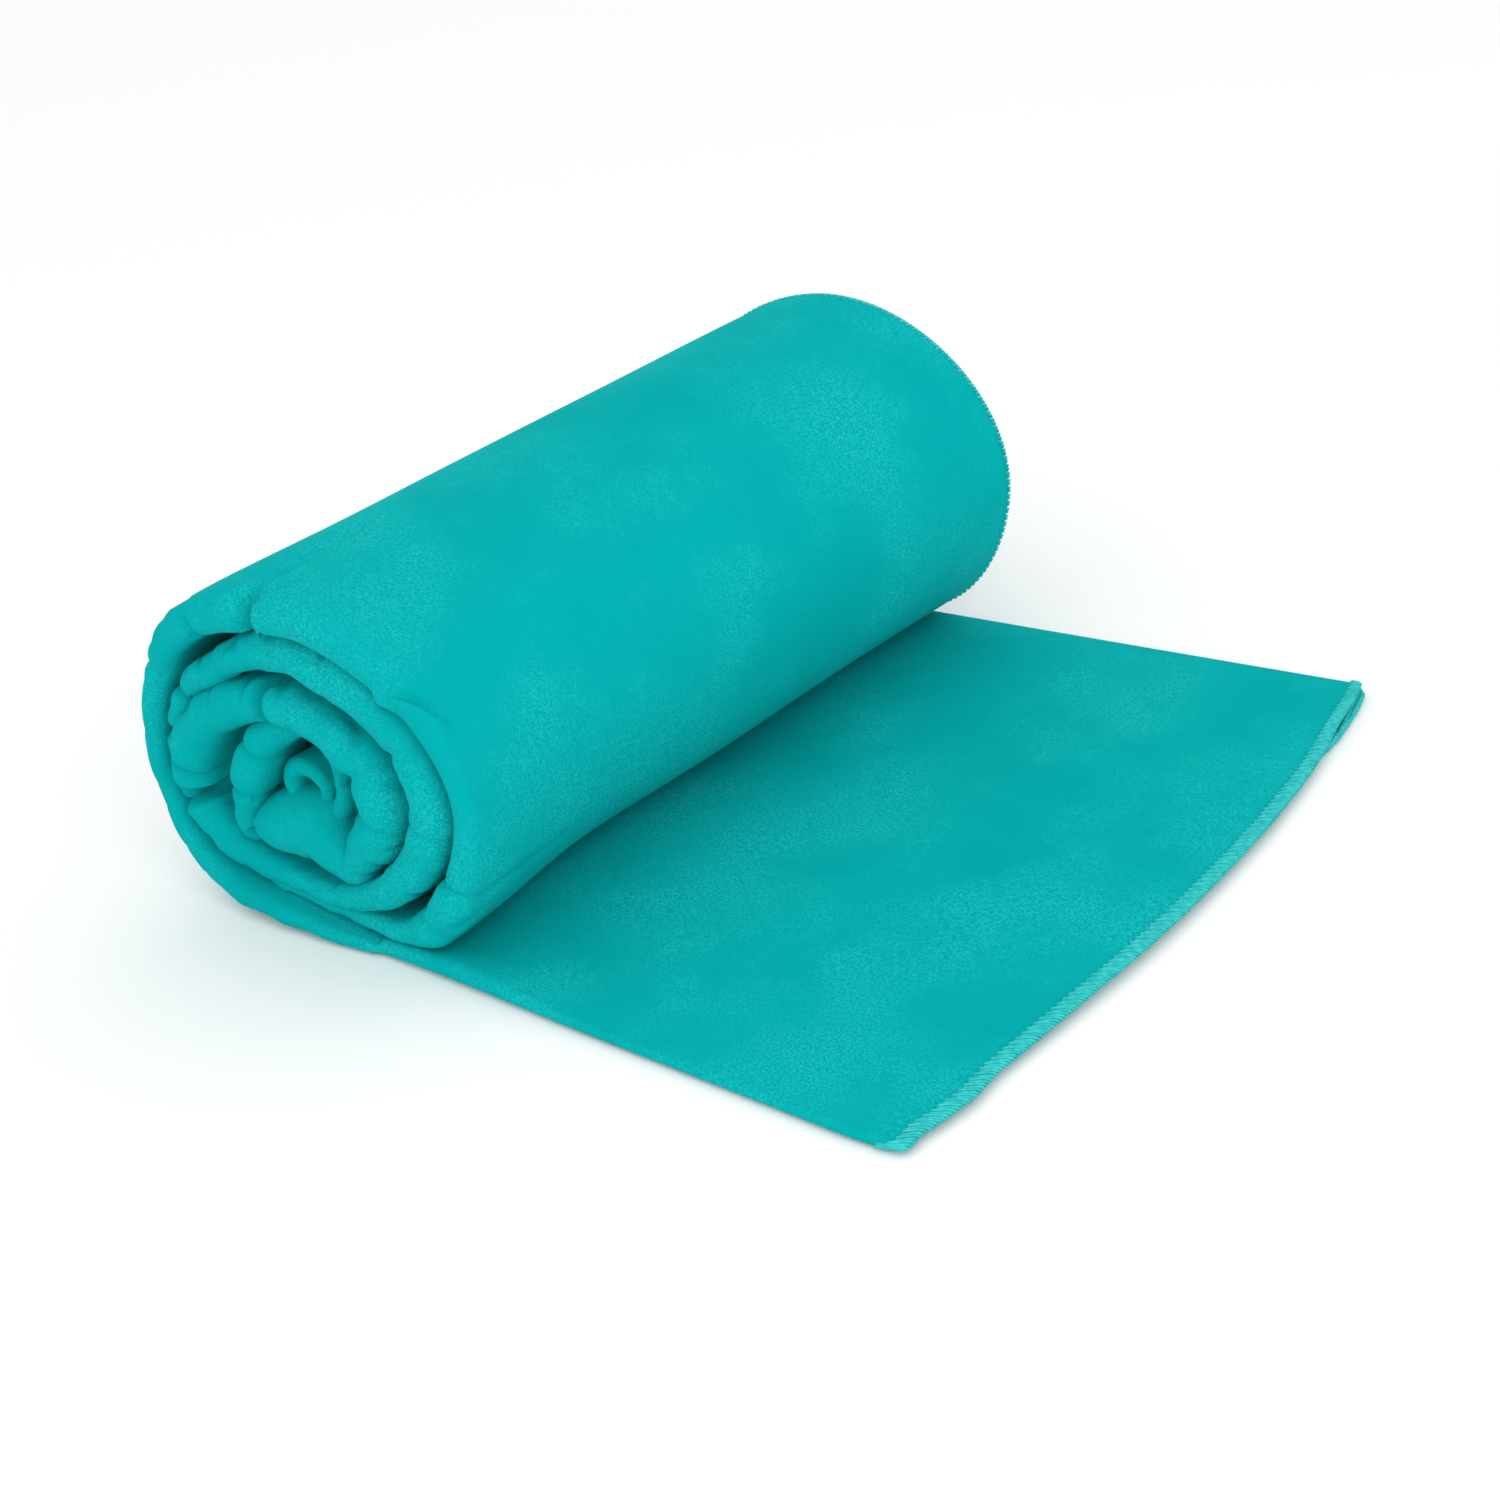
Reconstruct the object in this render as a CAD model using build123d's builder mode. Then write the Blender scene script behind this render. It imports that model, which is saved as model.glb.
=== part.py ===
"""A quick dry towel, folded in three along its length and rolled up, with its outer end lying flat.

Millimetres. The roll's axis runs along Y and the towel unrolls toward +X. The origin is on the floor,
under the middle of the roll.
"""
from build123d import *
import os

# Cloth: one layer, the thicker stitched hem, and three layers lying on one another
PLY = 1.2
HEM_PLY = 1.4
PLY_PITCH = 1.5
STACK = 2 * PLY_PITCH + HEM_PLY
HEM_WIDTH = 4.5
FOLDED_WIDTH = 250.0
JOIN_GAP = 0.2

# Heights of the three layers' middles when the towel lies on the floor
BOTTOM_PLY = HEM_PLY / 2
MIDDLE_PLY = BOTTOM_PLY + PLY_PITCH
TOP_PLY = MIDDLE_PLY + PLY_PITCH

# Across the towel: its two sides, where its folds begin to turn, and where its long edges lie
NEAR_SIDE = -FOLDED_WIDTH / 2
FAR_SIDE = FOLDED_WIDTH / 2
NEAR_FOLD_LINE = NEAR_SIDE + PLY_PITCH + HEM_PLY / 2
FAR_FOLD_LINE = FAR_SIDE - PLY_PITCH / 2 - HEM_PLY / 2
TUCKED_EDGE = NEAR_FOLD_LINE + 2 * PLY_PITCH
UNDER_EDGE = FAR_FOLD_LINE - PLY_PITCH
SIDE_HEM_START = UNDER_EDGE - HEM_WIDTH
SIDE_CLOTH_END = SIDE_HEM_START - JOIN_GAP

# Roll: the outer turn rests flat on the floor from the flap to just past the roll's middle
ROLL_WIDTH = 135.0
ROLL_HEIGHT = 114.0
RESTING_REACH = 8.0

# Each turn's outer and inner faces, where they cross the roll's left, top, right and lower sides.
# The layers lie close together below and to the left, and stand apart above and to the right.
OUTER_TURN_OUTSIDE = (-ROLL_WIDTH / 2, ROLL_HEIGHT, ROLL_WIDTH / 2, 5.0)
OUTER_TURN_INSIDE = (-60.5, 102.0, 54.0, 11.0)
SECOND_TURN_OUTSIDE = (-57.5, 99.0, 51.5, 12.4)
SECOND_TURN_INSIDE = (-49.5, 87.0, 38.5, 19.4)
THIRD_TURN_OUTSIDE = (-46.5, 84.0, 36.0, 21.0)
THIRD_TURN_INSIDE = (-34.5, 71.0, 20.0, 28.0)
INNER_TURN_OUTSIDE = (-31.5, 69.0, 18.0, 29.6)
INNER_TURN_INSIDE = (-21.0, 63.0, 12.5, 37.0)

# The stitched edge round the outer turn, and the slightly deeper step that holds it
SIDE_HEM_INSIDE = (
    HEM_PLY - ROLL_WIDTH / 2,
    ROLL_HEIGHT - HEM_PLY,
    ROLL_WIDTH / 2 - HEM_PLY,
    OUTER_TURN_OUTSIDE[-1] + HEM_PLY,
)
SIDE_STEP_INSIDE = (
    SIDE_HEM_INSIDE[0] + JOIN_GAP,
    SIDE_HEM_INSIDE[1] - JOIN_GAP,
    SIDE_HEM_INSIDE[2] - JOIN_GAP,
    SIDE_HEM_INSIDE[3] + JOIN_GAP,
)

# Middle of each turn, and where below its middle it ends
OUTER_TURN_MIDDLE = (0.0, 57.0)
OUTER_TURN_END = 12.0
SECOND_TURN_MIDDLE = (-3.0, 56.0)
SECOND_TURN_END = 8.0
THIRD_TURN_MIDDLE = (-5.0, 54.0)
THIRD_TURN_END = 3.0
INNER_TURN_MIDDLE = (-6.0, 52.0)
INNER_TURN_END = -3.0

# The tight winding in the middle, set back from the roll's ends, with the towel's inner end in it
CORE_MIDDLE = (-4.0, 50.5)
CORE_RADIUS_X = 15.0
CORE_RADIUS_Z = 11.0
CORE_RECESS = 12.0
CORE_LENGTH = FOLDED_WIDTH - 2 * CORE_RECESS

# A quarter of an ellipse drawn as one curve has its handles at this share of each side
QUARTER_HANDLE = 0.56

# Flap: the towel's outer end, lying flat, which bends up over the roll along equally spaced lines
FLAP_START = 38.0
FLAP_END = 205.0
FLAP_STRIPS = 5
STRIP_LENGTH = (FLAP_END - FLAP_START) / FLAP_STRIPS
BEND_GAP = 0.6
BEND_RELIEF = 1.2
RESTING_START = FLAP_START - BEND_GAP / 2
END_HEM_START = FLAP_END - HEM_WIDTH

# Planes across the roll, at its near side and where the core and the bottom layer's stitching start
NEAR_PLANE = Plane.XZ.offset(-NEAR_SIDE)
CORE_PLANE = Plane.XZ.offset(-NEAR_SIDE - CORE_RECESS)
SIDE_STEP_PLANE = Plane.XZ.offset(-SIDE_CLOTH_END)
SIDE_HEM_PLANE = Plane.XZ.offset(-SIDE_HEM_START)

os.makedirs("parts", exist_ok=True)


def quarter(start, end, leaves_level):
    """A quarter of an ellipse between two points, leaving the first one level or upright."""
    reach_x = (end[0] - start[0]) * QUARTER_HANDLE
    reach_z = (end[1] - start[1]) * QUARTER_HANDLE
    if leaves_level:
        Bezier(start, (start[0] + reach_x, start[1]), (end[0], end[1] - reach_z), end)
    else:
        Bezier(start, (start[0], start[1] + reach_z), (end[0] - reach_x, end[1]), end)


def winding(start, crossings, middle, end_x):
    """One turn of a face of the cloth, clockwise from below: left, top, right and below again."""
    left = (crossings[0], middle[1])
    top = (middle[0], crossings[1])
    right = (crossings[2], middle[1])
    below = (end_x, crossings[3])
    quarter(start, left, True)
    quarter(left, top, False)
    quarter(top, right, True)
    quarter(right, below, False)
    return below


def turn_outline(start_x, outside, inside, middle, end_x):
    """The closed outline of one turn, seen along the roll. Each face is given from its start."""
    with BuildLine() as outline:
        outside_start = (start_x, outside[0])
        inside_start = (start_x, inside[0])
        outside_end = winding(outside_start, outside[1:], middle, end_x)
        inside_end = winding(inside_start, inside[1:], middle, end_x)
        Line(outside_start, inside_start)
        Line(outside_end, inside_end)
    make_face(outline.edges())


def resting_outline(thickness):
    """The level stretch of the outer turn between the flap and where the turn starts to rise."""
    with Locations(((RESTING_START - RESTING_REACH) / 2, thickness / 2)):
        Rectangle(RESTING_START + RESTING_REACH, thickness)


def folded_section(layer, under_edge):
    """Three layers across the towel, as a letter is folded: the top one turns under at both sides."""
    with BuildLine() as path:
        Line((TUCKED_EDGE, MIDDLE_PLY), (FAR_FOLD_LINE, MIDDLE_PLY))
        far_fold = (FAR_FOLD_LINE + PLY_PITCH / 2, MIDDLE_PLY + PLY_PITCH / 2)
        ThreePointArc((FAR_FOLD_LINE, MIDDLE_PLY), far_fold, (FAR_FOLD_LINE, TOP_PLY))
        Line((FAR_FOLD_LINE, TOP_PLY), (NEAR_FOLD_LINE, TOP_PLY))
        near_fold = (NEAR_FOLD_LINE - PLY_PITCH, MIDDLE_PLY)
        ThreePointArc((NEAR_FOLD_LINE, TOP_PLY), near_fold, (NEAR_FOLD_LINE, BOTTOM_PLY))
        Line((NEAR_FOLD_LINE, BOTTOM_PLY), (under_edge, BOTTOM_PLY))
    trace(path.edges(), line_width=layer)


def bend_relief(position):
    """Room above a bending line, into which the strips beside it turn as the flap curls up."""
    with BuildSketch(NEAR_PLANE) as relief:
        with BuildLine() as notch:
            Polyline(
                (position, MIDDLE_PLY),
                (position - BEND_GAP / 2, MIDDLE_PLY),
                (position - BEND_GAP / 2 - BEND_RELIEF, STACK),
                (position + BEND_GAP / 2 + BEND_RELIEF, STACK),
                (position + BEND_GAP / 2, MIDDLE_PLY),
                close=True,
            )
        make_face(notch.edges())
    extrude(relief.sketch, amount=-FOLDED_WIDTH, mode=Mode.SUBTRACT)


def save(piece, name):
    """Labels a finished piece and writes it to its own file."""
    piece.part.label = name
    export_step(piece.part, f"parts/{name}.step")


# Outer turn: it rests on the floor, rises round the roll and comes down on its own start. A step
# round its far end holds the bottom layer's stitched edge, which faces outward here.
with BuildPart() as outer_turn:
    with BuildSketch(NEAR_PLANE):
        outside = (0.0, *OUTER_TURN_OUTSIDE)
        inside = (STACK, *OUTER_TURN_INSIDE)
        turn_outline(-RESTING_REACH, outside, inside, OUTER_TURN_MIDDLE, OUTER_TURN_END)
        resting_outline(STACK)
    extrude(amount=-FOLDED_WIDTH)
    bend_relief(FLAP_START)
    with BuildSketch(SIDE_STEP_PLANE):
        step = (HEM_PLY + JOIN_GAP, *SIDE_STEP_INSIDE)
        turn_outline(-RESTING_REACH, outside, step, OUTER_TURN_MIDDLE, OUTER_TURN_END)
        resting_outline(HEM_PLY + JOIN_GAP)
    extrude(amount=-(HEM_WIDTH + 2 * JOIN_GAP), mode=Mode.SUBTRACT)
save(outer_turn, "outer_turn")

# Stitched edge of the bottom layer, round the outer turn's far end
with BuildPart() as roll_side_hem:
    with BuildSketch(SIDE_HEM_PLANE):
        outside = (0.0, *OUTER_TURN_OUTSIDE)
        inside = (HEM_PLY, *SIDE_HEM_INSIDE)
        turn_outline(-RESTING_REACH, outside, inside, OUTER_TURN_MIDDLE, OUTER_TURN_END)
        resting_outline(HEM_PLY)
    extrude(amount=-HEM_WIDTH)
save(roll_side_hem, "roll_side_hem")

# Second turn
with BuildPart() as second_turn:
    with BuildSketch(NEAR_PLANE):
        outside = (OUTER_TURN_OUTSIDE[-1], *SECOND_TURN_OUTSIDE)
        inside = (OUTER_TURN_INSIDE[-1], *SECOND_TURN_INSIDE)
        start_x = OUTER_TURN_END - JOIN_GAP
        turn_outline(start_x, outside, inside, SECOND_TURN_MIDDLE, SECOND_TURN_END)
    extrude(amount=-FOLDED_WIDTH)
save(second_turn, "second_turn")

# Third turn
with BuildPart() as third_turn:
    with BuildSketch(NEAR_PLANE):
        outside = (SECOND_TURN_OUTSIDE[-1], *THIRD_TURN_OUTSIDE)
        inside = (SECOND_TURN_INSIDE[-1], *THIRD_TURN_INSIDE)
        start_x = SECOND_TURN_END - JOIN_GAP
        turn_outline(start_x, outside, inside, THIRD_TURN_MIDDLE, THIRD_TURN_END)
    extrude(amount=-FOLDED_WIDTH)
save(third_turn, "third_turn")

# Inner turn, the last one that stands open
with BuildPart() as inner_turn:
    with BuildSketch(NEAR_PLANE):
        outside = (THIRD_TURN_OUTSIDE[-1], *INNER_TURN_OUTSIDE)
        inside = (THIRD_TURN_INSIDE[-1], *INNER_TURN_INSIDE)
        start_x = THIRD_TURN_END - JOIN_GAP
        turn_outline(start_x, outside, inside, INNER_TURN_MIDDLE, INNER_TURN_END)
    extrude(amount=-FOLDED_WIDTH)
save(inner_turn, "inner_turn")

# Core: the first tight windings, with a slot where the towel's inner end lies
with BuildPart() as core:
    with BuildSketch(CORE_PLANE):
        with Locations(CORE_MIDDLE):
            Ellipse(CORE_RADIUS_X, CORE_RADIUS_Z)
    extrude(amount=-CORE_LENGTH)
    with BuildSketch(NEAR_PLANE):
        with Locations(CORE_MIDDLE):
            Rectangle(HEM_WIDTH + JOIN_GAP, STACK + JOIN_GAP)
    extrude(amount=-FOLDED_WIDTH, mode=Mode.SUBTRACT)
save(core, "core")

# Stitched inner end of the towel, in the middle of the core
with BuildPart() as core_end_hem:
    with BuildSketch(CORE_PLANE):
        with Locations(CORE_MIDDLE):
            RectangleRounded(HEM_WIDTH, STACK, PLY / 2)
    extrude(amount=-CORE_LENGTH)
save(core_end_hem, "core_end_hem")

# Flap: strips of the folded cloth, each with its own length of the bottom layer's stitched edge
for number in range(1, FLAP_STRIPS + 1):
    bend_line = FLAP_START + (number - 1) * STRIP_LENGTH
    next_bend_line = bend_line + STRIP_LENGTH
    strip_start = bend_line + BEND_GAP / 2
    strip_end = next_bend_line - BEND_GAP / 2
    if number == FLAP_STRIPS:
        strip_end = END_HEM_START - JOIN_GAP

    with BuildPart() as strip:
        with BuildSketch(Plane.YZ.offset(strip_start)):
            folded_section(PLY, SIDE_CLOTH_END)
        extrude(amount=strip_end - strip_start)
        bend_relief(bend_line)
        bend_relief(next_bend_line)
    save(strip, f"flap_strip_{number}")

    with BuildPart() as side_hem:
        with BuildSketch(Plane.YZ.offset(strip_start)):
            with Locations(((SIDE_HEM_START + UNDER_EDGE) / 2, BOTTOM_PLY)):
                RectangleRounded(HEM_WIDTH, HEM_PLY, PLY / 2)
        extrude(amount=strip_end - strip_start)
    save(side_hem, f"flap_side_hem_{number}")

# Stitched outer end of the towel, folded in three with the cloth
with BuildPart() as end_hem:
    with BuildSketch(Plane.YZ.offset(END_HEM_START)):
        folded_section(HEM_PLY, UNDER_EDGE)
    extrude(amount=HEM_WIDTH)
save(end_hem, "end_hem")
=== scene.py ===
"""A quick dry towel, folded in three and rolled up, with its outer end lying flat.

Lengths are in millimetres here and turn into metres when a mesh is made. X is the way the towel
unrolls, Y runs along the roll and Z is up, as in the CAD frame. Across the towel, depth counts from
the roll's near side. Along the towel, quarter turns count inward from where the roll leaves the
floor: 0 is below, 1 left, 2 on top, 3 right, 4 below again.
"""

import math

import bpy
import numpy as np
from mathutils import Matrix


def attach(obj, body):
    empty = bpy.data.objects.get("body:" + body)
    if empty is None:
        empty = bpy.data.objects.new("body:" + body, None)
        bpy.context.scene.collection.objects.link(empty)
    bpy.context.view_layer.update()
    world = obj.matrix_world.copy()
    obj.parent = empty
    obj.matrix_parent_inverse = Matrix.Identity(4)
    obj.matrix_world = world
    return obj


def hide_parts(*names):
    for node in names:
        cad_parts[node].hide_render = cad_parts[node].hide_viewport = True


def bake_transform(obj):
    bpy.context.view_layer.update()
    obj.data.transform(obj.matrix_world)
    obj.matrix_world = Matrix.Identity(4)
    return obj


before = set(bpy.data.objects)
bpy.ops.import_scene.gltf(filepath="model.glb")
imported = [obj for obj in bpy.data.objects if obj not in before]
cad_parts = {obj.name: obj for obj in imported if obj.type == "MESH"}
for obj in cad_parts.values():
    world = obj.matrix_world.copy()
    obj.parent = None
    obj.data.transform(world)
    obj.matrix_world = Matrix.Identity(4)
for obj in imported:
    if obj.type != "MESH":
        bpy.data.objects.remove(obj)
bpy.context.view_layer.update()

MM = 0.001

# Cloth
WIDTH = 250.0
HEM_WIDTH = 3.8

# Flap, with its bending lines where the CAD has them
FLAP_START = 38.0
FLAP_END = 205.0
STRIPS = 5
STRIP_LENGTH = (FLAP_END - FLAP_START) / STRIPS
ROLL_FOOT = 12.0
FLAP_HALF = 1.6
FLAP_MIDDLE = 2.1

# The flap flares a little toward its end: mm to each side for each mm along it
NEAR_FLARE = 0.036
FAR_FLARE = 0.024

# On the flap, quarter turns run on below 0, one for each of these lengths
FLAP_QUARTER = 60.0

# Least height of the cloth over the floor, and of the cloth inside the stitching
CLOTH_CLEARANCE = 0.35
HEM_CLEARANCE = 1.25

# The folded edge's route round the near end of the roll: quarter turns, X, Z, half the thickness of
# the puffed fold, and how far back it stands from the roll's near side
NEAR_ROUTE = [
    (0.00, 12, 2.4, 1.9, -1.0),
    (0.30, -12, 3.3, 2.8, -3.0),
    (0.50, -31, 4.6, 3.8, -3.6),
    (0.65, -46.5, 6.8, 4.2, -3.2),
    (0.78, -58, 11, 4.2, -2.2),
    (0.88, -66.5, 17.5, 4.0, -1.2),
    (0.97, -72.6, 26.5, 3.8, -0.2),
    (1.06, -75.7, 37, 3.8, 0.5),
    (1.16, -75.5, 48, 3.8, 0.5),
    (1.27, -72.5, 59.5, 4.0, 0.5),
    (1.40, -66.5, 72, 4.5, 0.5),
    (1.53, -58.5, 83.5, 5.2, 0.0),
    (1.66, -47, 93, 6.0, 0.0),
    (1.80, -32, 99.5, 6.5, 0.0),
    (1.95, -14, 102, 7.0, 1.0),
    (2.12, 5, 102.5, 7.0, 1.0),
    (2.30, 22, 98.5, 6.5, 0.5),
    (2.50, 39, 90.5, 5.5, 0.5),
    (2.68, 50, 81, 4.8, 1.0),
    (2.85, 56.5, 69.5, 4.4, 1.5),
    (3.00, 58, 58, 4.2, 2.0),
    (3.15, 56, 46, 4.6, 1.5),
    (3.30, 51, 34, 5.6, 0.5),
    (3.47, 43.5, 22.5, 6.5, -1.0),
    (3.64, 34, 13, 6.0, -1.0),
    (3.80, 22, 8.5, 3.8, 0.5),
    (4.00, 8, 7.8, 3.2, 2.0),
    (4.20, -10, 8.6, 3.0, 3.0),
    (4.40, -29, 11.0, 3.0, 3.0),
    (4.60, -48, 16, 3.2, 3.5),
    (4.80, -61.5, 25.5, 3.2, 3.5),
    (5.00, -68, 37, 3.2, 3.0),
    (5.20, -67.5, 48.5, 3.4, 2.5),
    (5.40, -62, 61, 3.8, 2.0),
    (5.60, -53, 73, 4.4, 1.5),
    (5.78, -39, 80.5, 5.0, 2.0),
    (5.95, -26, 86.5, 5.5, 2.0),
    (6.10, -12, 89, 6.0, 3.0),
    (6.30, 4, 89.5, 6.5, 1.0),
    (6.50, 19, 86, 7.0, 0.0),
    (6.68, 31, 79.5, 7.5, 0.0),
    (6.85, 40, 71, 7.5, 0.0),
    (7.00, 44, 61, 7.5, 0.0),
    (7.15, 43, 51, 7.5, 0.0),
    (7.32, 38.5, 41, 7.0, 0.0),
    (7.50, 31, 31, 6.5, 0.0),
    (7.68, 21, 22.5, 5.5, 0.0),
    (7.85, 8, 16, 4.5, 1.0),
    (8.05, -7, 12.6, 4.0, 2.0),
    (8.25, -22, 13, 4.2, 2.5),
    (8.42, -37, 15.5, 5.0, 2.0),
    (8.60, -51.5, 20.0, 6.5, 1.0),
    (8.80, -61, 28.5, 7.5, 0.0),
    (9.00, -63.5, 39, 8.2, -1.0),
    (9.20, -59, 50.5, 8.2, -1.5),
    (9.40, -49.5, 61.5, 8.2, -1.5),
    (9.60, -37.5, 68.5, 7.2, -1.0),
    (9.80, -24, 73, 6.6, 0.0),
    (9.98, -10, 74, 6.2, 1.0),
    (10.20, 4, 72, 7.0, 0.5),
    (10.45, 14, 65.5, 8.0, 0.0),
    (10.70, 20.5, 57.5, 8.5, 0.0),
    (10.95, 21.5, 48.5, 9.0, 0.0),
    (11.20, 17.5, 39.5, 8.5, 0.0),
    (11.45, 10.5, 31, 7.0, 1.0),
    (11.70, 2.5, 23.5, 5.5, 2.0),
    (11.95, -6, 27, 9.0, 2.0),
    (12.10, -12, 31.5, 12.0, 1.5),
    (12.30, -20, 32, 11.5, 1.0),
    (12.50, -30, 30, 9.0, 1.0),
    (12.70, -40.5, 27.5, 5.0, 2.5),
    (12.90, -40.5, 35, 5.5, 1.5),
    (13.10, -35.5, 44.5, 6.3, 0.0),
    (13.35, -29.5, 54, 6.3, 0.0),
    (13.60, -22, 61.5, 5.5, 2.0),
    (13.90, -13, 64, 4.5, 8.0),
    (14.35, -4.5, 57.5, 3.2, 10.5),
    (14.8, -2.0, 48.0, 3.0, 10.0),
    (15.2, -3.0, 41.0, 3.2, 9.0),
    (15.6, -7.0, 35.6, 3.3, 8.0),
    (16.0, -13.0, 33.6, 3.4, 8.0),
    (16.4, -19.0, 36.0, 3.4, 8.0),
    (16.8, -22.0, 41.5, 3.4, 8.0),
    (17.2, -21.4, 47.0, 3.2, 8.0),
    (17.6, -17.6, 50.6, 3.0, 8.0),
    (18.0, -13.0, 51.2, 2.8, 8.4),
    (18.4, -9.4, 49.0, 2.6, 9.0),
    (18.8, -7.8, 45.2, 2.4, 9.4),
    (19.3, -8.8, 41.4, 2.2, 9.4),
    (19.8, -11.7, 39.6, 2.0, 9.4),
    (20.3, -14.6, 40.8, 1.8, 9.2),
]

# Inside the roll, where the middle of the cloth crosses below, left, on top and right in turn, and
# half the thickness of the folded cloth there
DEEP_CROSSINGS = [
    (12, 2.1, 1.6), (-63.1, 56, 4.4), (0, 108.5, 5.8), (61.6, 57, 5.8),
    (14, 7.9, 3.3), (-54, 55, 4.4), (-2, 96.5, 5.8), (49, 57, 6.2),
    (8, 15.5, 3.6), (-44.5, 54, 4.8), (-4, 84, 6.2), (36, 55, 6.2),
    (4, 24.5, 4.6), (-33.5, 53, 5.6), (-5, 72, 4.8), (24, 54, 4.6),
    (0, 34, 3.6), (-22, 51, 3.4), (-5, 62, 3.0), (13, 52, 3.0),
    (-3, 41.5, 2.4), (-10, 51, 2.0),
]

# From this quarter turn on the cloth is the core, whose far end stands back inside the roll
CORE_QUARTER = 14.5
CORE_FAR_SETBACK = 12.0

# The stitched edge is tucked over the roll's far rim on an arc
TUCK_RADIUS = 2.3
TUCK_DEGREES = 115

# The near end leans away from the flap and stands a little lower
NEAR_SHIFT = -8.0
NEAR_HEIGHT = 0.96

# Depth over which the near end's route settles into the one inside the roll, on the flap and in it
FLAP_SETTLING = 16.0
ROLL_SETTLING = 65.0

# Pleats gathered into the folded edge: quarter turns, reach in mm, how far it sinks back, and how
# much thinner the fold is there
PLEATS = [
    (1.46, 2.0, 1.2, 0.05),
    (1.72, 2.0, 3.0, 0.15),
    (1.94, 3.0, 10.0, 0.30),
    (3.36, 2.2, 3.2, 0.15),
    (3.58, 2.4, 2.0, 0.10),
    (4.90, 2.0, 2.5, 0.20),
    (5.30, 2.2, 5.0, 0.30),
    (5.55, 2.0, 6.0, 0.25),
    (6.83, 2.2, 1.2, 0.05),
    (7.24, 2.2, 2.0, 0.10),
    (8.93, 2.0, 14.0, 0.50),
    (9.12, 1.2, 3.0, 0.15),
    (9.88, 1.6, 11.0, 0.25),
    (10.62, 2.4, 1.5, 0.10),
    (11.10, 2.0, 2.0, 0.10),
    (12.62, 1.8, 7.0, 0.40),
    (13.05, 1.6, 2.5, 0.15),
    (13.42, 1.8, 3.0, 0.15),
]

# Creases pressed into the outer face: from quarter turns and depth, to quarter turns and depth,
# half the width, and how deep
CREASES = [
    (1.93, 0, 2.06, 15, 3.0, 4.5),
    (1.44, 0, 1.47, 8, 1.2, 0.5),
    (1.70, 0, 1.66, 8, 1.8, 1.2),
    (2.50, 0, 2.80, 12, 1.4, 3.2),
    (3.34, 0, 3.32, 3, 2.2, 0.8),
    (3.56, -2, 3.44, 9, 2.0, 1.4),
    (5.55, 0, 5.62, 10, 1.8, 2.6),
    (8.92, 0, 9.02, 15, 2.2, 4.6),
    (9.12, 0, 9.30, 8, 1.2, 1.6),
    (9.86, 0, 9.94, 13, 1.6, 3.2),
    (12.62, 0, 12.50, 9, 1.6, 2.4),
    (13.05, 0, 13.00, 9, 1.4, 1.6),
]

# The stitched end's line across the towel: depth and X
END_LINE = [
    (-7, 201), (-4, 204.2), (2, 203.6), (9, 205.3), (20, 206.7), (32, 205.6), (58, 207.3),
    (92, 209.2), (117, 209.2), (142, 208), (168, 206), (198, 202), (230, 196.5), (248, 193),
    (252.5, 190.8), (254.5, 188.3), (257, 184),
]

# How far the lower layers stand behind the top one, how far the top one draws back where the end gapes,
# and how far each droops
LOWER_SETBACK = 3.2
GAPE_SETBACK = 1.2
TOP_DROOP = 1.5
LOWER_DROOP = 0.2


def smooth(t):
    """Rises from 0 to 1 without a corner as t goes from 0 to 1."""
    t = np.clip(t, 0.0, 1.0)
    return t * t * (3.0 - 2.0 * t)


def curve_through(knots, values, at):
    """A smooth curve through values at the knots, read off at other places."""
    slopes = np.gradient(values, knots, axis=0)
    where = np.clip(np.searchsorted(knots, at) - 1, 0, len(knots) - 2)
    span = knots[where + 1] - knots[where]
    t = ((at - knots[where]) / span)[:, None]
    span = span[:, None]
    first, last = values[where], values[where + 1]
    leave, arrive = slopes[where] * span, slopes[where + 1] * span
    return (
        first * (2 * t**3 - 3 * t**2 + 1)
        + leave * (t**3 - 2 * t**2 + t)
        + last * (3 * t**2 - 2 * t**3)
        + arrive * (t**3 - t**2)
    )


def deep_route(quarters):
    """X and Z of the cloth's middle inside the roll: quarters of ellipses from crossing to crossing."""
    crossings = np.array(DEEP_CROSSINGS, float)
    number = np.clip(np.floor(quarters).astype(int), 0, len(crossings) - 2)
    angle = np.clip(quarters - number, 0, 1) * math.pi / 2
    start, end = crossings[number], crossings[number + 1]
    level = number % 2 == 0
    x_level = start[:, 0] + (end[:, 0] - start[:, 0]) * np.sin(angle)
    z_level = end[:, 1] + (start[:, 1] - end[:, 1]) * np.cos(angle)
    x_upright = end[:, 0] + (start[:, 0] - end[:, 0]) * np.cos(angle)
    z_upright = start[:, 1] + (end[:, 1] - start[:, 1]) * np.sin(angle)
    return np.where(level, x_level, x_upright), np.where(level, z_level, z_upright)


def ripple(a, b, seed, size):
    """Gentle uneven waves over a surface, seldom over 1 high, without a repeating pattern."""
    random = np.random.default_rng(seed)
    total = np.zeros(np.broadcast(a, b).shape)
    for _ in range(9):
        direction = random.uniform(0, math.pi)
        wave = random.uniform(0.6, 1.6) * size
        phase = random.uniform(0, 2 * math.pi)
        along = a * math.cos(direction) + b * math.sin(direction)
        total = total + np.sin(2 * math.pi * along / wave + phase)
    return total / 4.5


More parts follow.
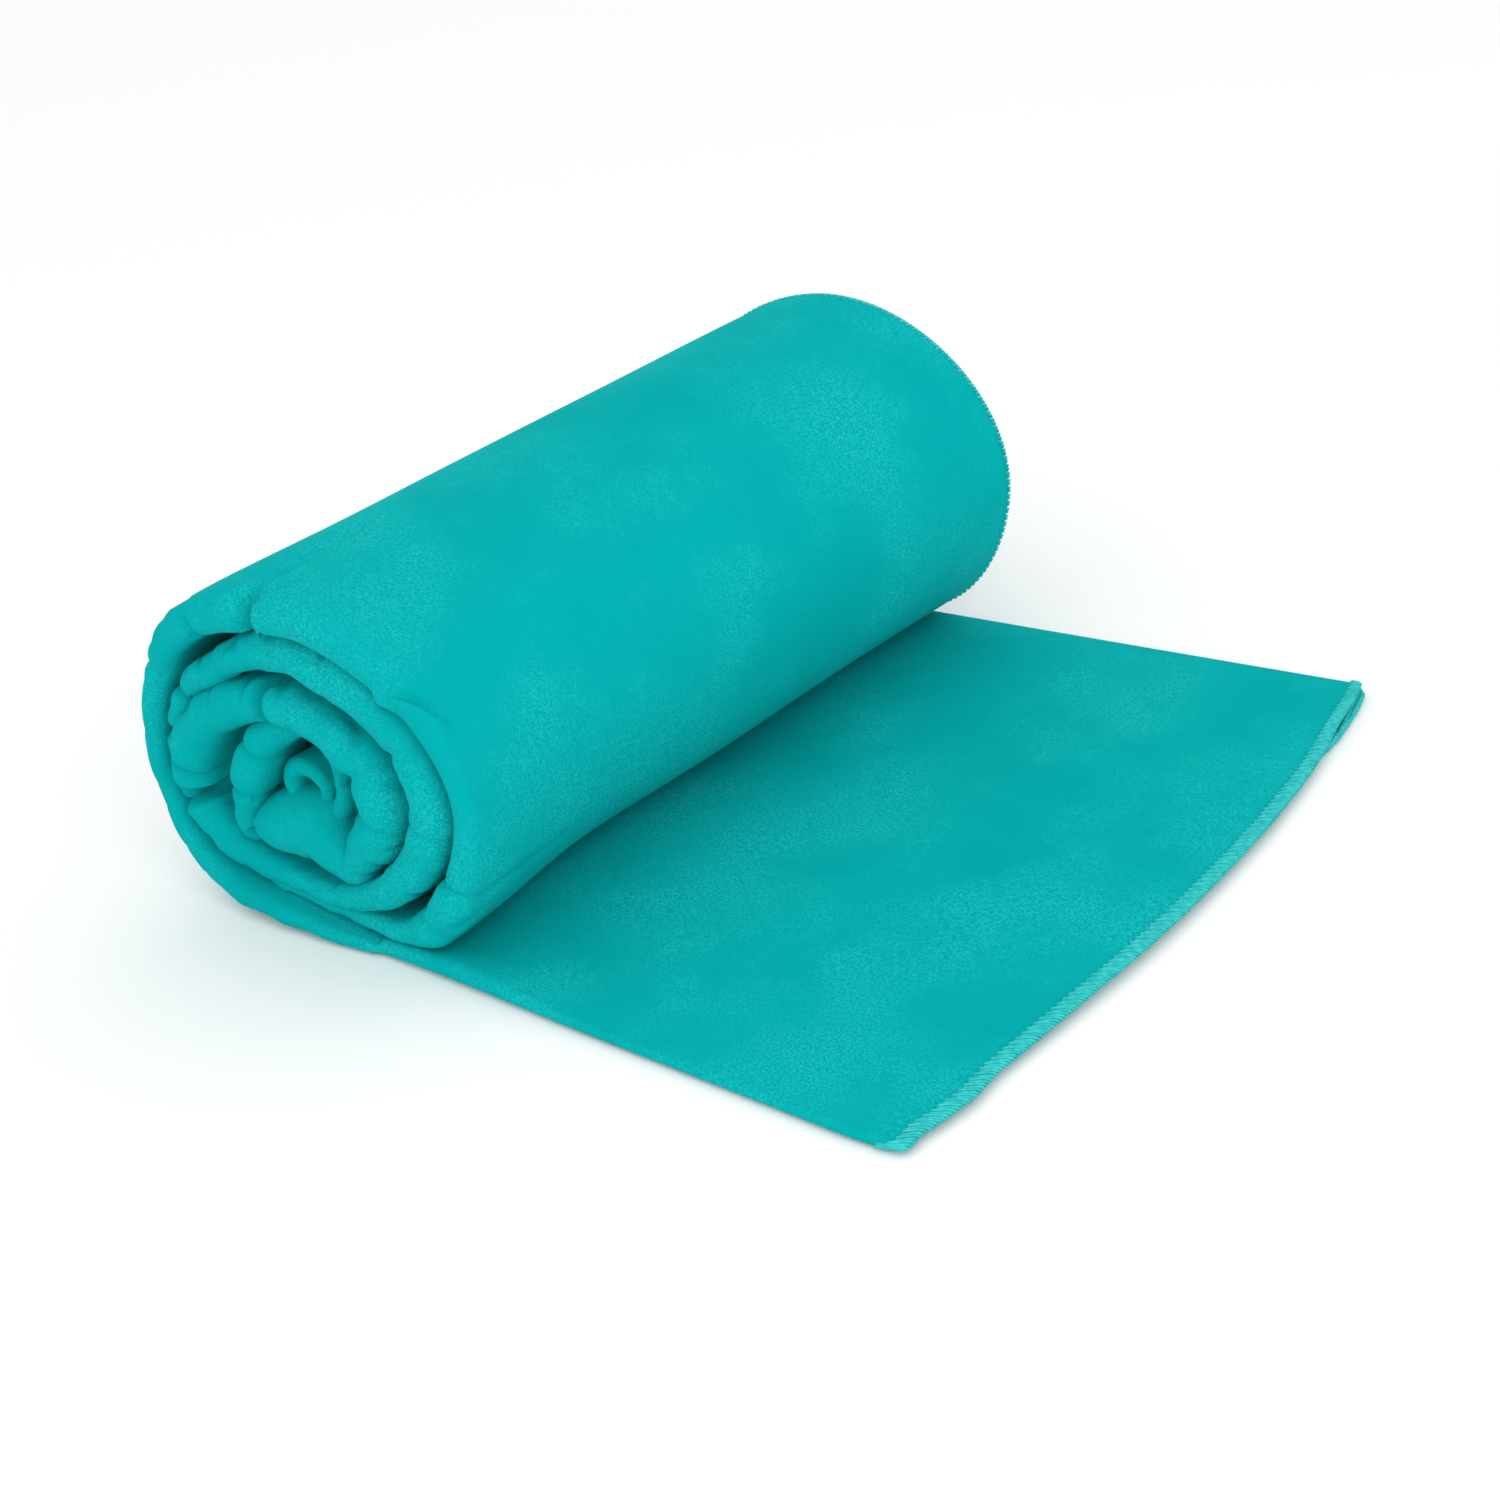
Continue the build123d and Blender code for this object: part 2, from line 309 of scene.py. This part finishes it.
# Rows along the towel: first the flap from its end to the roll, then the roll inward to the core
route = np.array(NEAR_ROUTE, float)
steps = np.hypot(np.diff(route[:, 1]), np.diff(route[:, 2]))
knots = np.concatenate([[0], np.cumsum(steps)])
roll_length = knots[-1]
bend_lines = [FLAP_START + STRIP_LENGTH * n for n in range(STRIPS)]
strip_middles = [line + STRIP_LENGTH / 2 for line in bend_lines]
first_split = FLAP_START - STRIP_LENGTH / 2

FLAP_ROW_SPACING = 2.0
hem_rows = FLAP_END - HEM_WIDTH * np.array([0.0, 0.34, 0.67, 1.0])
flap_x = list(hem_rows)
marks = sorted([first_split, ROLL_FOOT] + strip_middles, reverse=True)
position = FLAP_END - HEM_WIDTH
for mark in marks:
    count = max(1, round((position - mark) / FLAP_ROW_SPACING))
    flap_x += list(np.linspace(position, mark, count + 1)[1:])
    position = mark
flap_x = np.array(flap_x)

# The roll's rows stand closer together toward the core, where the cloth bends more tightly
turn_spacing = np.interp(knots, [0, 0.5 * roll_length, roll_length], [1.5, 1.3, 1.1])
roll_t = [0.0]
while roll_t[-1] < roll_length:
    roll_t.append(roll_t[-1] + float(np.interp(roll_t[-1], knots, turn_spacing)))
roll_t = np.array(roll_t[1:-1] + [roll_length])
on_route = curve_through(knots, route[:, 1:], roll_t)
roll_quarters = np.interp(roll_t, knots, route[:, 0])

quarters = np.concatenate([(ROLL_FOOT - flap_x) / FLAP_QUARTER, roll_quarters])
near_x = np.concatenate([flap_x, on_route[:, 0]])
near_z = np.concatenate([np.full(len(flap_x), FLAP_MIDDLE), on_route[:, 1]])
near_half = np.concatenate([np.full(len(flap_x), FLAP_HALF), on_route[:, 2]])
near_front = np.concatenate([-NEAR_FLARE * (flap_x - ROLL_FOOT), on_route[:, 3]])
deep_x, deep_z = deep_route(roll_quarters)
deep_x = np.concatenate([flap_x, deep_x])
deep_z = np.concatenate([np.full(len(flap_x), FLAP_MIDDLE), deep_z])
core_share = smooth((quarters - CORE_QUARTER + 1.5) / 1.5)
crossing_halves = [crossing[2] for crossing in DEEP_CROSSINGS]
deep_half = np.interp(quarters, np.arange(len(crossing_halves)), crossing_halves)
far_end = WIDTH + np.where(quarters < 0, FAR_FLARE * (near_x - ROLL_FOOT), 2.0 * smooth(quarters / 0.8))
far_end = far_end - CORE_FAR_SETBACK * core_share

# Gathered pleats, and small unevenness, along the near fold
walked = np.concatenate([[0], np.cumsum(np.hypot(np.diff(near_x), np.diff(near_z)))])
in_roll = smooth(quarters / 0.4)
plain_centre = near_front + near_half
for place, reach, sink, thinning in PLEATS:
    away = walked - np.interp(place, quarters, walked)
    gather = np.exp(-((away / reach) ** 2))
    near_front = near_front + sink * gather
    near_half = near_half * (1 - thinning * gather)
loose = in_roll * (1 - 0.75 * smooth((quarters - 1.6) / 0.4) * (1 - smooth((quarters - 3.2) / 0.3)))
near_front = near_front + 0.45 * loose * ripple(walked, 0.0, 3, 19)
near_half = near_half * (1 + 0.05 * loose * ripple(walked, 0.0, 4, 23))

# At the flap's end the near fold draws back to leave room for the thread round it, and beside the roll
# it stands a little puffed
END_DRAWN_BACK = 1.8
PUFF_HEIGHT = 1.5
PUFF_PLACE = 42.0
PUFF_REACH = 34.0
near_front = near_front + END_DRAWN_BACK * np.exp(-(FLAP_END - near_x) / 4.5) * (quarters < 0)
puff = PUFF_HEIGHT * np.exp(-(((near_x - PUFF_PLACE) / PUFF_REACH) ** 2)) * (quarters < 0)
near_half = near_half + puff
near_z = near_z + puff

# Columns across the towel: the middle layer from its tucked edge to the far fold, the top layer back
# to the near fold, and the bottom layer to its stitched far edge. Each column is a share of the way
# from the near fold to the far fold, plus a place on a fold's arc.
share, level, arc_near, arc_far = [], [], [], []


def add_columns(shares, levels, near=0.0, far=0.0):
    for a, b, c, d in np.broadcast(shares, levels, near, far):
        share.append(float(a))
        level.append(float(b))
        arc_near.append(float(c))
        arc_far.append(float(d))


# A level runs from -1, the outermost layer, to 1, the innermost, which is the top one on the flap
MIDDLE_LEVEL = -0.3
fold_middle = (1 + MIDDLE_LEVEL) / 2
fold_radius = (1 - MIDDLE_LEVEL) / 2
TOP_COLUMNS = 32
BOTTOM_COLUMNS = 40
HEM_COLUMNS = 5
far_angles = np.radians(np.linspace(-90, 90, 11))[1:-1]
near_angles = np.radians(np.linspace(90, -90, 19))[1:-1]
hem_shares = np.arange(1, HEM_COLUMNS + 1) / HEM_COLUMNS
add_columns(np.linspace(0.03, 1, 10), MIDDLE_LEVEL)
add_columns(1.0, fold_middle + fold_radius * np.sin(far_angles), 0.0, np.cos(far_angles))
add_columns(np.linspace(1, 0, TOP_COLUMNS) ** 1.6, 1.0)
add_columns(0.0, np.sin(near_angles), np.cos(near_angles))
add_columns(np.linspace(0, 1, BOTTOM_COLUMNS) ** 1.5, -1.0)
add_columns(1.0, np.full(HEM_COLUMNS, -1.0))
share, level = np.array(share), np.array(level)
arc_near, arc_far = np.array(arc_near), np.array(arc_far)
column = np.arange(len(share))
needle_column = len(share) - 1 - HEM_COLUMNS
bottom_layer = column > needle_column - BOTTOM_COLUMNS
top_layer = level > 0.9

# Depth of every point, then the route at that depth. The bottom layer's stitched edge lies flat under
# the flap, and is tucked over the end of the roll.
tucked = smooth(quarters / 0.8)[:, None]
settling = FLAP_SETTLING + (ROLL_SETTLING - FLAP_SETTLING) * smooth(quarters + 0.3)[:, None]
near_centre = (near_front + near_half)[:, None]
far_centre = (far_end - fold_radius * deep_half)[:, None]
hem_start = far_end[:, None] - HEM_WIDTH
tuck_start = far_end[:, None] - TUCK_RADIUS
hem_start = np.where(bottom_layer, hem_start + (tuck_start - hem_start) * tucked, far_centre)
depth = near_centre + (hem_start - near_centre) * share
depth = depth - arc_near * near_half[:, None] + arc_far * (fold_radius * deep_half)[:, None]
curl = np.radians(TUCK_DEGREES) * hem_shares
hem_depth_flat = far_end[:, None] - HEM_WIDTH * (1 - hem_shares)
hem_depth_tucked = tuck_start + np.sin(curl) * TUCK_RADIUS
depth[:, needle_column + 1:] = hem_depth_flat + (hem_depth_tucked - hem_depth_flat) * tucked
level = np.repeat(level[None, :], len(quarters), axis=0)
level[:, needle_column + 1:] += TUCK_RADIUS * (1 - np.cos(curl)) / deep_half[:, None] * tucked
settled = smooth((depth - np.minimum(near_centre, plain_centre[:, None])) / settling)
rolled = smooth(quarters / 0.8)[:, None]
lean = NEAR_SHIFT * (1 - np.clip(depth, 0, WIDTH) / WIDTH) * rolled
height = 1 + (NEAR_HEIGHT - 1) * (1 - np.clip(depth, 0, WIDTH) / WIDTH) * rolled
route_x = near_x[:, None] * (1 - settled) + (deep_x[:, None] + lean) * settled
route_z = near_z[:, None] * (1 - settled) + deep_z[:, None] * height * settled
half = near_half[:, None] * (1 - settled) + deep_half[:, None] * settled

# The way in from the outer face, square to the route
along_x = np.gradient(route_x, axis=0)
along_z = np.gradient(route_z, axis=0)
length = np.hypot(along_x, along_z) + 1e-9
inward_x, inward_z = along_z / length, -along_x / length

# Unevenness of the cloth, each with its size in mm: lumps and folds near the rim that run inward, broad
# dents over the roll, and waves on the flap
RIM_REACH = 16.0
RIM_LUMPS = 0.4
FOLD_LINES = 0.6
INNER_FOLD_LINES = 1.0
FINE_LUMPS = 0.10
INNER_FINE_LUMPS = 0.14
DENTS = 0.7
WAVES = 0.6
rim = np.exp(-np.clip(depth - plain_centre[:, None], 0, None) / RIM_REACH) * loose[:, None]
inner = smooth((quarters - 3.9) / 0.5)[:, None]
distance = np.broadcast_to(walked[:, None], depth.shape)
crumple = RIM_LUMPS * rim * ripple(distance, depth * 0.3, 5, 21)
fold_lines = ripple(distance, depth * 0.35, 8, 26)
fold_line_size = (FOLD_LINES + INNER_FOLD_LINES * inner) * (1 - level) / 2
crumple = crumple + fold_line_size * rim * np.exp(-((fold_lines / 0.14) ** 2))
small_lumps = ripple(distance, depth + 4.0 * level, 12, 9)
crumple = crumple + (FINE_LUMPS + INNER_FINE_LUMPS * inner) * rim * small_lumps
dents = DENTS * in_roll[:, None] * ripple(distance, depth, 6, 95)
on_flap = 1 - smooth((quarters + 0.35) / 0.5)[:, None]
wave_size = WAVES * on_flap * top_layer * smooth(share * (1 - share) * 12)
waves = wave_size * (1 + ripple(route_x, depth, 7, 110))
pressed = np.zeros_like(depth)
for first, first_depth, last, last_depth, reach, sink in CREASES:
    begin = np.array([np.interp(first, quarters, walked), first_depth])
    run = np.array([np.interp(last, quarters, walked), last_depth]) - begin
    ahead = ((distance - begin[0]) * run[0] + (depth - begin[1]) * run[1]) / (run @ run)
    ahead = np.clip(ahead, 0, 1)
    away = np.hypot(distance - begin[0] - run[0] * ahead, depth - begin[1] - run[1] * ahead)
    pressed = pressed + sink * (1 - ahead**2) * np.exp(-((away / reach) ** 2))
offset = level * half + crumple + dents + waves + pressed * (level < 0.5)
x = route_x + inward_x * offset
z = np.maximum(route_z + inward_z * offset, CLOTH_CLEARANCE)

# The flap's end: its line across the towel, the lower layers a little behind the top one, and the
# top one drooping over them except at the far corner, where the end gapes
from_end = (FLAP_END - near_x)[:, None]
end_line = np.array(END_LINE, float)
flap_share = np.clip((near_x - FLAP_START) / (FLAP_END - FLAP_START), 0, None)[:, None]
past_end = np.interp(depth, end_line[:, 0], end_line[:, 1]) - FLAP_END
x = x + past_end * flap_share**2 * (quarters < 0)[:, None]
at_end = 1 - smooth((from_end - HEM_WIDTH) / 30)
gape = smooth((depth - 190) / 45) * (1 - smooth((depth - 241) / 8))
lower = smooth((0.9 - level) / 0.9)
x = x - LOWER_SETBACK * at_end * lower * (1 - smooth((depth - 195) / 30))
x = x - GAPE_SETBACK * at_end * gape * (1 - lower)
droop = np.exp(-np.clip(from_end, 0, None) / 5.0) * (1 - smooth((depth - 205) / 30))
z = z - (TOP_DROOP * (1 - lower) + LOWER_DROOP * lower) * droop
stitched = (column >= needle_column) | (from_end <= HEM_WIDTH)
z = np.maximum(z, np.where(stitched, HEM_CLEARANCE, CLOTH_CLEARANCE))

points = np.stack([x, depth - WIDTH / 2, z], axis=-1) * MM

# Normals of the whole cloth, so that its pieces shade as one
down_rows = np.gradient(points, axis=0)
over_columns = np.gradient(points, axis=1)
normals = np.cross(down_rows, over_columns)
normals = normals / (np.linalg.norm(normals, axis=-1, keepdims=True) + 1e-12)


def material(name, build):
    """A new material whose nodes are laid by build(nodes, links, shader)."""
    made = bpy.data.materials.new(name)
    made.use_nodes = True
    nodes, links = made.node_tree.nodes, made.node_tree.links
    build(nodes, links, nodes["Principled BSDF"])
    return made


def noise(nodes, links, place, scale, detail=3.0, roughness=0.55):
    """Noise over the object's own coordinates. The scale counts features to the metre."""
    texture = nodes.new("ShaderNodeTexNoise")
    texture.inputs["Scale"].default_value = scale
    texture.inputs["Detail"].default_value = detail
    texture.inputs["Roughness"].default_value = roughness
    links.new(place.outputs["Object"], texture.inputs["Vector"])
    return texture.outputs["Fac"]


def ramp(nodes, links, value, low, high, first, last):
    """Turns a value between low and high into a colour between first and last."""
    made = nodes.new("ShaderNodeValToRGB")
    made.color_ramp.elements[0].position = low
    made.color_ramp.elements[1].position = high
    made.color_ramp.elements[0].color = (*first, 1)
    made.color_ramp.elements[1].color = (*last, 1)
    links.new(value, made.inputs["Fac"])
    return made.outputs["Color"]


def mixed(nodes, links, amount, first, second):
    """Two colours mixed by another node's value."""
    made = nodes.new("ShaderNodeMix")
    made.data_type = "RGBA"
    links.new(amount, made.inputs["Factor"])
    links.new(first, made.inputs["A"])
    links.new(second, made.inputs["B"])
    return made.outputs["Result"]


def bumped(nodes, links, shader, value, distance, strength, under=None):
    """Raises the surface by a value, on top of another bump if there is one."""
    bump = nodes.new("ShaderNodeBump")
    bump.inputs["Distance"].default_value = distance
    bump.inputs["Strength"].default_value = strength
    links.new(value, bump.inputs["Height"])
    if under is not None:
        links.new(under, bump.inputs["Normal"])
    links.new(bump.outputs["Normal"], shader.inputs["Normal"])
    return bump.outputs["Normal"]


def suede(nodes, links, shader):
    """Brushed microfibre: a short matt nap, paler in patches where it is brushed the other way."""
    place = nodes.new("ShaderNodeTexCoord")
    base = ramp(
        nodes, links, noise(nodes, links, place, 16.0, 4.0),
        0.34, 0.68, (0.0006, 0.355, 0.363), (0.0014, 0.385, 0.391),
    )
    brushed = ramp(
        nodes, links, noise(nodes, links, place, 17.0, 6.0, 0.6),
        0.44, 0.62, (0.06, 0.06, 0.06), (1, 1, 1),
    )
    speckle = ramp(
        nodes, links, noise(nodes, links, place, 1300.0, 1.0, 0.8),
        0.40, 0.64, (0.0010, 0.345, 0.353), (0.010, 0.49, 0.492),
    )
    nap = mixed(nodes, links, brushed, base, speckle)
    links.new(nap, shader.inputs["Base Color"])
    shader.inputs["Roughness"].default_value = 0.95
    shader.inputs["Specular IOR Level"].default_value = 0.02
    shader.inputs["Specular Tint"].default_value = (0.1, 0.9, 0.9, 1)
    shader.inputs["Sheen Weight"].default_value = 0.06
    shader.inputs["Sheen Roughness"].default_value = 0.5
    shader.inputs["Sheen Tint"].default_value = (0.02, 0.9, 0.9, 1)
    fine = bumped(nodes, links, shader, noise(nodes, links, place, 1100.0, 3.0, 0.7), 0.0005, 0.4)
    bumped(nodes, links, shader, noise(nodes, links, place, 160.0, 4.0, 0.6), 0.0008, 0.25, fine)


def thread_finish(nodes, links, shader):
    """Polyester overlock thread, lighter than the cloth, with a slight sheen and a fine twist."""
    place = nodes.new("ShaderNodeTexCoord")
    colour = ramp(
        nodes, links, noise(nodes, links, place, 500.0, 2.0),
        0.35, 0.7, (0.016, 0.455, 0.45), (0.046, 0.585, 0.575),
    )
    links.new(colour, shader.inputs["Base Color"])
    shader.inputs["Roughness"].default_value = 0.7
    shader.inputs["Specular IOR Level"].default_value = 0.15
    bumped(nodes, links, shader, noise(nodes, links, place, 2400.0, 2.0), 0.0002, 0.4)


def plain_floor(nodes, links, shader):
    shader.inputs["Base Color"].default_value = (0.96, 0.96, 0.96, 1)
    shader.inputs["Roughness"].default_value = 0.9
    shader.inputs["Specular IOR Level"].default_value = 0.1


cloth_material = material("brushed_microfibre", suede)
thread_material = material("overlock_thread", thread_finish)
floor_material = material("plain_floor", plain_floor)


def cloth_piece(name, first_row, last_row):
    """The rows of the cloth from first to last, as one mesh with smooth shared shading."""
    rows = slice(first_row, last_row + 1)
    vertices = points[rows].reshape(-1, 3)
    row_count, column_count = points[rows].shape[:2]
    number = np.arange(row_count * column_count).reshape(row_count, column_count)
    faces = np.stack(
        [number[:-1, :-1], number[1:, :-1], number[1:, 1:], number[:-1, 1:]], axis=-1
    ).reshape(-1, 4)
    mesh = bpy.data.meshes.new(name)
    mesh.from_pydata(vertices.tolist(), [], faces.tolist())
    mesh.polygons.foreach_set("use_smooth", [True] * len(faces))
    mesh.materials.append(cloth_material)
    mesh.normals_split_custom_set_from_vertices(normals[rows].reshape(-1, 3).tolist())
    obj = bpy.data.objects.new(name, mesh)
    bpy.context.scene.collection.objects.link(obj)
    return obj


def read_band(band, along, across):
    """Points on a band of the cloth at fractional places along it and across it."""
    along = np.clip(along, 0, len(band) - 1.001)
    across = np.clip(across, 0, band.shape[1] - 1.001)
    i, j = np.floor(along).astype(int), np.floor(across).astype(int)
    u, v = (along - i)[:, None], (across - j)[:, None]
    low = band[i, j] * (1 - v) + band[i, j + 1] * v
    high = band[i + 1, j] * (1 - v) + band[i + 1, j + 1] * v
    return low * (1 - u) + high * u


# Overlock stitching: half a stitch apart, threads lean from the needle line to the edge and go round
# it. Each step of a thread: share across the band, share of the lean, lift and overhang in mm.
THREAD_SPACING = 1.25
THREAD_RADIUS = 0.47
THREAD_LEAN = 2.2
SHORT_THREAD = 0.13
THREAD_STEPS = [
    (0.00, 0.00, -0.15, 0.0),
    (0.08, 0.06, 0.30, 0.0),
    (0.35, 0.30, 0.42, 0.0),
    (0.65, 0.64, 0.42, 0.0),
    (0.92, 0.94, 0.32, 0.0),
    (1.00, 1.02, 0.05, 0.35),
    (0.97, 1.04, -0.45, 0.15),
    (0.70, 1.06, -0.50, 0.0),
]


def stitches(name, band, facing, lean=THREAD_LEAN):
    """Overlock threads over a cloth edge. The band's second axis runs from needle line to edge."""
    edge = band[:, -1]
    walk = np.concatenate([[0], np.cumsum(np.linalg.norm(np.diff(edge, axis=0), axis=1))]) / MM
    count = int(walk[-1] / THREAD_SPACING)
    places = np.interp(np.linspace(0, walk[-1], count + 1), walk, np.arange(len(edge)))
    outward = band[:, -1:] - band[:, -2:-1]
    outward = outward / (np.linalg.norm(outward, axis=-1, keepdims=True) + 1e-12)
    outward = np.repeat(outward, band.shape[1], axis=1)
    thread = np.arange(count + 1)
    short = SHORT_THREAD * (thread % 2)
    uneven = 0.12 * ripple(thread, 0.0, 11, 5)
    across_all = band.shape[1] - 1
    steps_out = []
    for reach, leaning, lift, overhang in THREAD_STEPS:
        along = np.interp(thread + leaning * lean + uneven, thread, places)
        across = across_all * (short + (1 - short) * reach)
        spot = read_band(band, along, across)
        up = read_band(facing, along, across)
        out = read_band(outward, along, across)
        steps_out.append(spot + up * lift * MM + out * overhang * MM)
    return tubes(name, np.stack(steps_out, axis=1), THREAD_RADIUS * MM, 6)


def tubes(name, paths, radius, sides):
    """Round threads along many short paths of equal length, as one mesh."""
    count, steps_each = paths.shape[:2]
    ahead = np.gradient(paths, axis=1)
    ahead = ahead / (np.linalg.norm(ahead, axis=-1, keepdims=True) + 1e-12)
    whole = paths[:, -1] - paths[:, 0]
    guide = np.cross(whole, paths[:, steps_each // 2] - paths[:, 0])
    guide = guide / (np.linalg.norm(guide, axis=-1, keepdims=True) + 1e-12)
    guide = np.repeat(guide[:, None, :], steps_each, axis=1)
    side = np.cross(ahead, guide)
    side = side / (np.linalg.norm(side, axis=-1, keepdims=True) + 1e-12)
    over = np.cross(side, ahead)
    angles = np.linspace(0, 2 * math.pi, sides, endpoint=False)
    ring = side[:, :, None] * np.cos(angles)[:, None] + over[:, :, None] * np.sin(angles)[:, None]
    vertices = (paths[:, :, None] + ring * radius).reshape(-1, 3)
    number = np.arange(count * steps_each * sides).reshape(count, steps_each, sides)
    turned = np.roll(number, -1, axis=2)
    walls = np.stack(
        [number[:, :-1], turned[:, :-1], turned[:, 1:], number[:, 1:]], axis=-1
    ).reshape(-1, 4)
    mesh = bpy.data.meshes.new(name)
    caps = np.concatenate([number[:, 0, ::-1], number[:, -1]], axis=0)
    mesh.from_pydata(vertices.tolist(), [], walls.tolist() + caps.tolist())
    mesh.polygons.foreach_set("use_smooth", [True] * len(mesh.polygons))
    mesh.materials.append(thread_material)
    obj = bpy.data.objects.new(name, mesh)
    bpy.context.scene.collection.objects.link(obj)
    return obj


def row_at(position):
    """The flap row that stands at this X."""
    return int(np.argmin(np.abs(flap_x - position)))


# The cloth and the stitching on its edges, in pieces that meet halfway along the flap's strips
split_rows = [row_at(first_split)] + [row_at(middle) for middle in strip_middles]
last_row = len(points) - 1
side_band = points[:, needle_column:]
side_facing = normals[:, needle_column:]
end_band = points[len(hem_rows) - 1::-1].transpose(1, 0, 2)
end_facing = normals[len(hem_rows) - 1::-1].transpose(1, 0, 2)
core_band = points[-4:].transpose(1, 0, 2)
core_facing = normals[-4:].transpose(1, 0, 2)

roll_cloth = cloth_piece("rolled_cloth", split_rows[0], last_row)
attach(roll_cloth, "roll")
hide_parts("outer_turn", "second_turn", "third_turn", "inner_turn", "core")

roll_rows = slice(split_rows[0], last_row + 1)
roll_hem = stitches("rolled_side_stitching", side_band[roll_rows], side_facing[roll_rows])
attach(roll_hem, "roll")
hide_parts("roll_side_hem")

core_hem = stitches("inner_end_stitching", core_band, core_facing)
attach(core_hem, "roll")
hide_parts("core_end_hem")

# The cloth and side stitching between each pair of split rows along the flap, with their transforms
# baked in
for number, line in enumerate(bend_lines, start=1):
    rows = slice(split_rows[number], split_rows[number - 1] + 1)
    cloth = cloth_piece(f"flap_cloth_{number}", rows.start, rows.stop - 1)
    hem = stitches(f"flap_side_stitching_{number}", side_band[rows], side_facing[rows])
    for piece in (cloth, hem):
        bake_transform(piece)
    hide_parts(f"flap_strip_{number}")
    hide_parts(f"flap_side_hem_{number}")

end_cloth = cloth_piece("flap_end_cloth", 0, split_rows[STRIPS])
end_rows = slice(0, split_rows[STRIPS] + 1)
end_side_hem = stitches("flap_end_side_stitching", side_band[end_rows], side_facing[end_rows])
end_hem = stitches("outer_end_stitching", end_band, end_facing, -THREAD_LEAN)
for piece in (end_cloth, end_side_hem, end_hem):
    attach(piece, "flap_5")
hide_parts("end_hem")

# Floor, a hair below the cloth, and backdrop
FLOOR_SIZE = 12.0
FLOOR_DROP = 0.2
bpy.ops.mesh.primitive_plane_add(size=FLOOR_SIZE, location=(0, 0, -FLOOR_DROP * MM))
floor = bpy.context.object
floor.name = "floor"
floor.data.materials.append(floor_material)

world = bpy.data.worlds.new("studio")
bpy.context.scene.world = world
world.use_nodes = True
world.node_tree.nodes["Background"].inputs["Color"].default_value = (1, 1, 1, 1)
world.node_tree.nodes["Background"].inputs["Strength"].default_value = 1.0


def soft_light(name, place, target, size, power):
    """A square soft box aimed at a point."""
    data = bpy.data.lights.new(name, "AREA")
    data.size = size
    data.energy = power
    light = bpy.data.objects.new(name, data)
    bpy.context.scene.collection.objects.link(light)
    light.location = place
    aim = np.array(target) - np.array(place)
    light.rotation_mode = "QUATERNION"
    from_down = np.array((0.0, 0.0, -1.0))
    aim = aim / np.linalg.norm(aim)
    axis = np.cross(from_down, aim)
    angle = math.acos(float(np.clip(from_down @ aim, -1, 1)))
    light.rotation_quaternion = Matrix.Rotation(angle, 4, axis).to_quaternion()


soft_light("key", (0.95, -0.65, 0.5), (0.03, 0, 0.05), 0.9, 4.4)
soft_light("top", (-0.3, -0.2, 1.3), (0.03, 0, 0.05), 1.0, 0.6)

# Camera, leaning a little to one side as it looks down at the towel
CAMERA_PLACE = (0.5275, -0.4994, 0.3584)
CAMERA_RIGHT = (0.7641854, 0.62832594, -0.14569554)
CAMERA_DOWN = (0.18594387, -0.43090592, -0.88303169)
CAMERA_AHEAD = (-0.61761278, 0.64770873, -0.44612537)
camera_data = bpy.data.cameras.new("camera")
camera_data.lens = 60.3
camera_data.sensor_width = 36.0
camera = bpy.data.objects.new("camera", camera_data)
bpy.context.scene.collection.objects.link(camera)
facing = Matrix((CAMERA_RIGHT, [-v for v in CAMERA_DOWN], [-v for v in CAMERA_AHEAD])).transposed()
camera.matrix_world = Matrix.Translation(CAMERA_PLACE) @ facing.to_4x4()
bpy.context.scene.camera = camera
bpy.context.scene.view_settings.view_transform = "Standard"
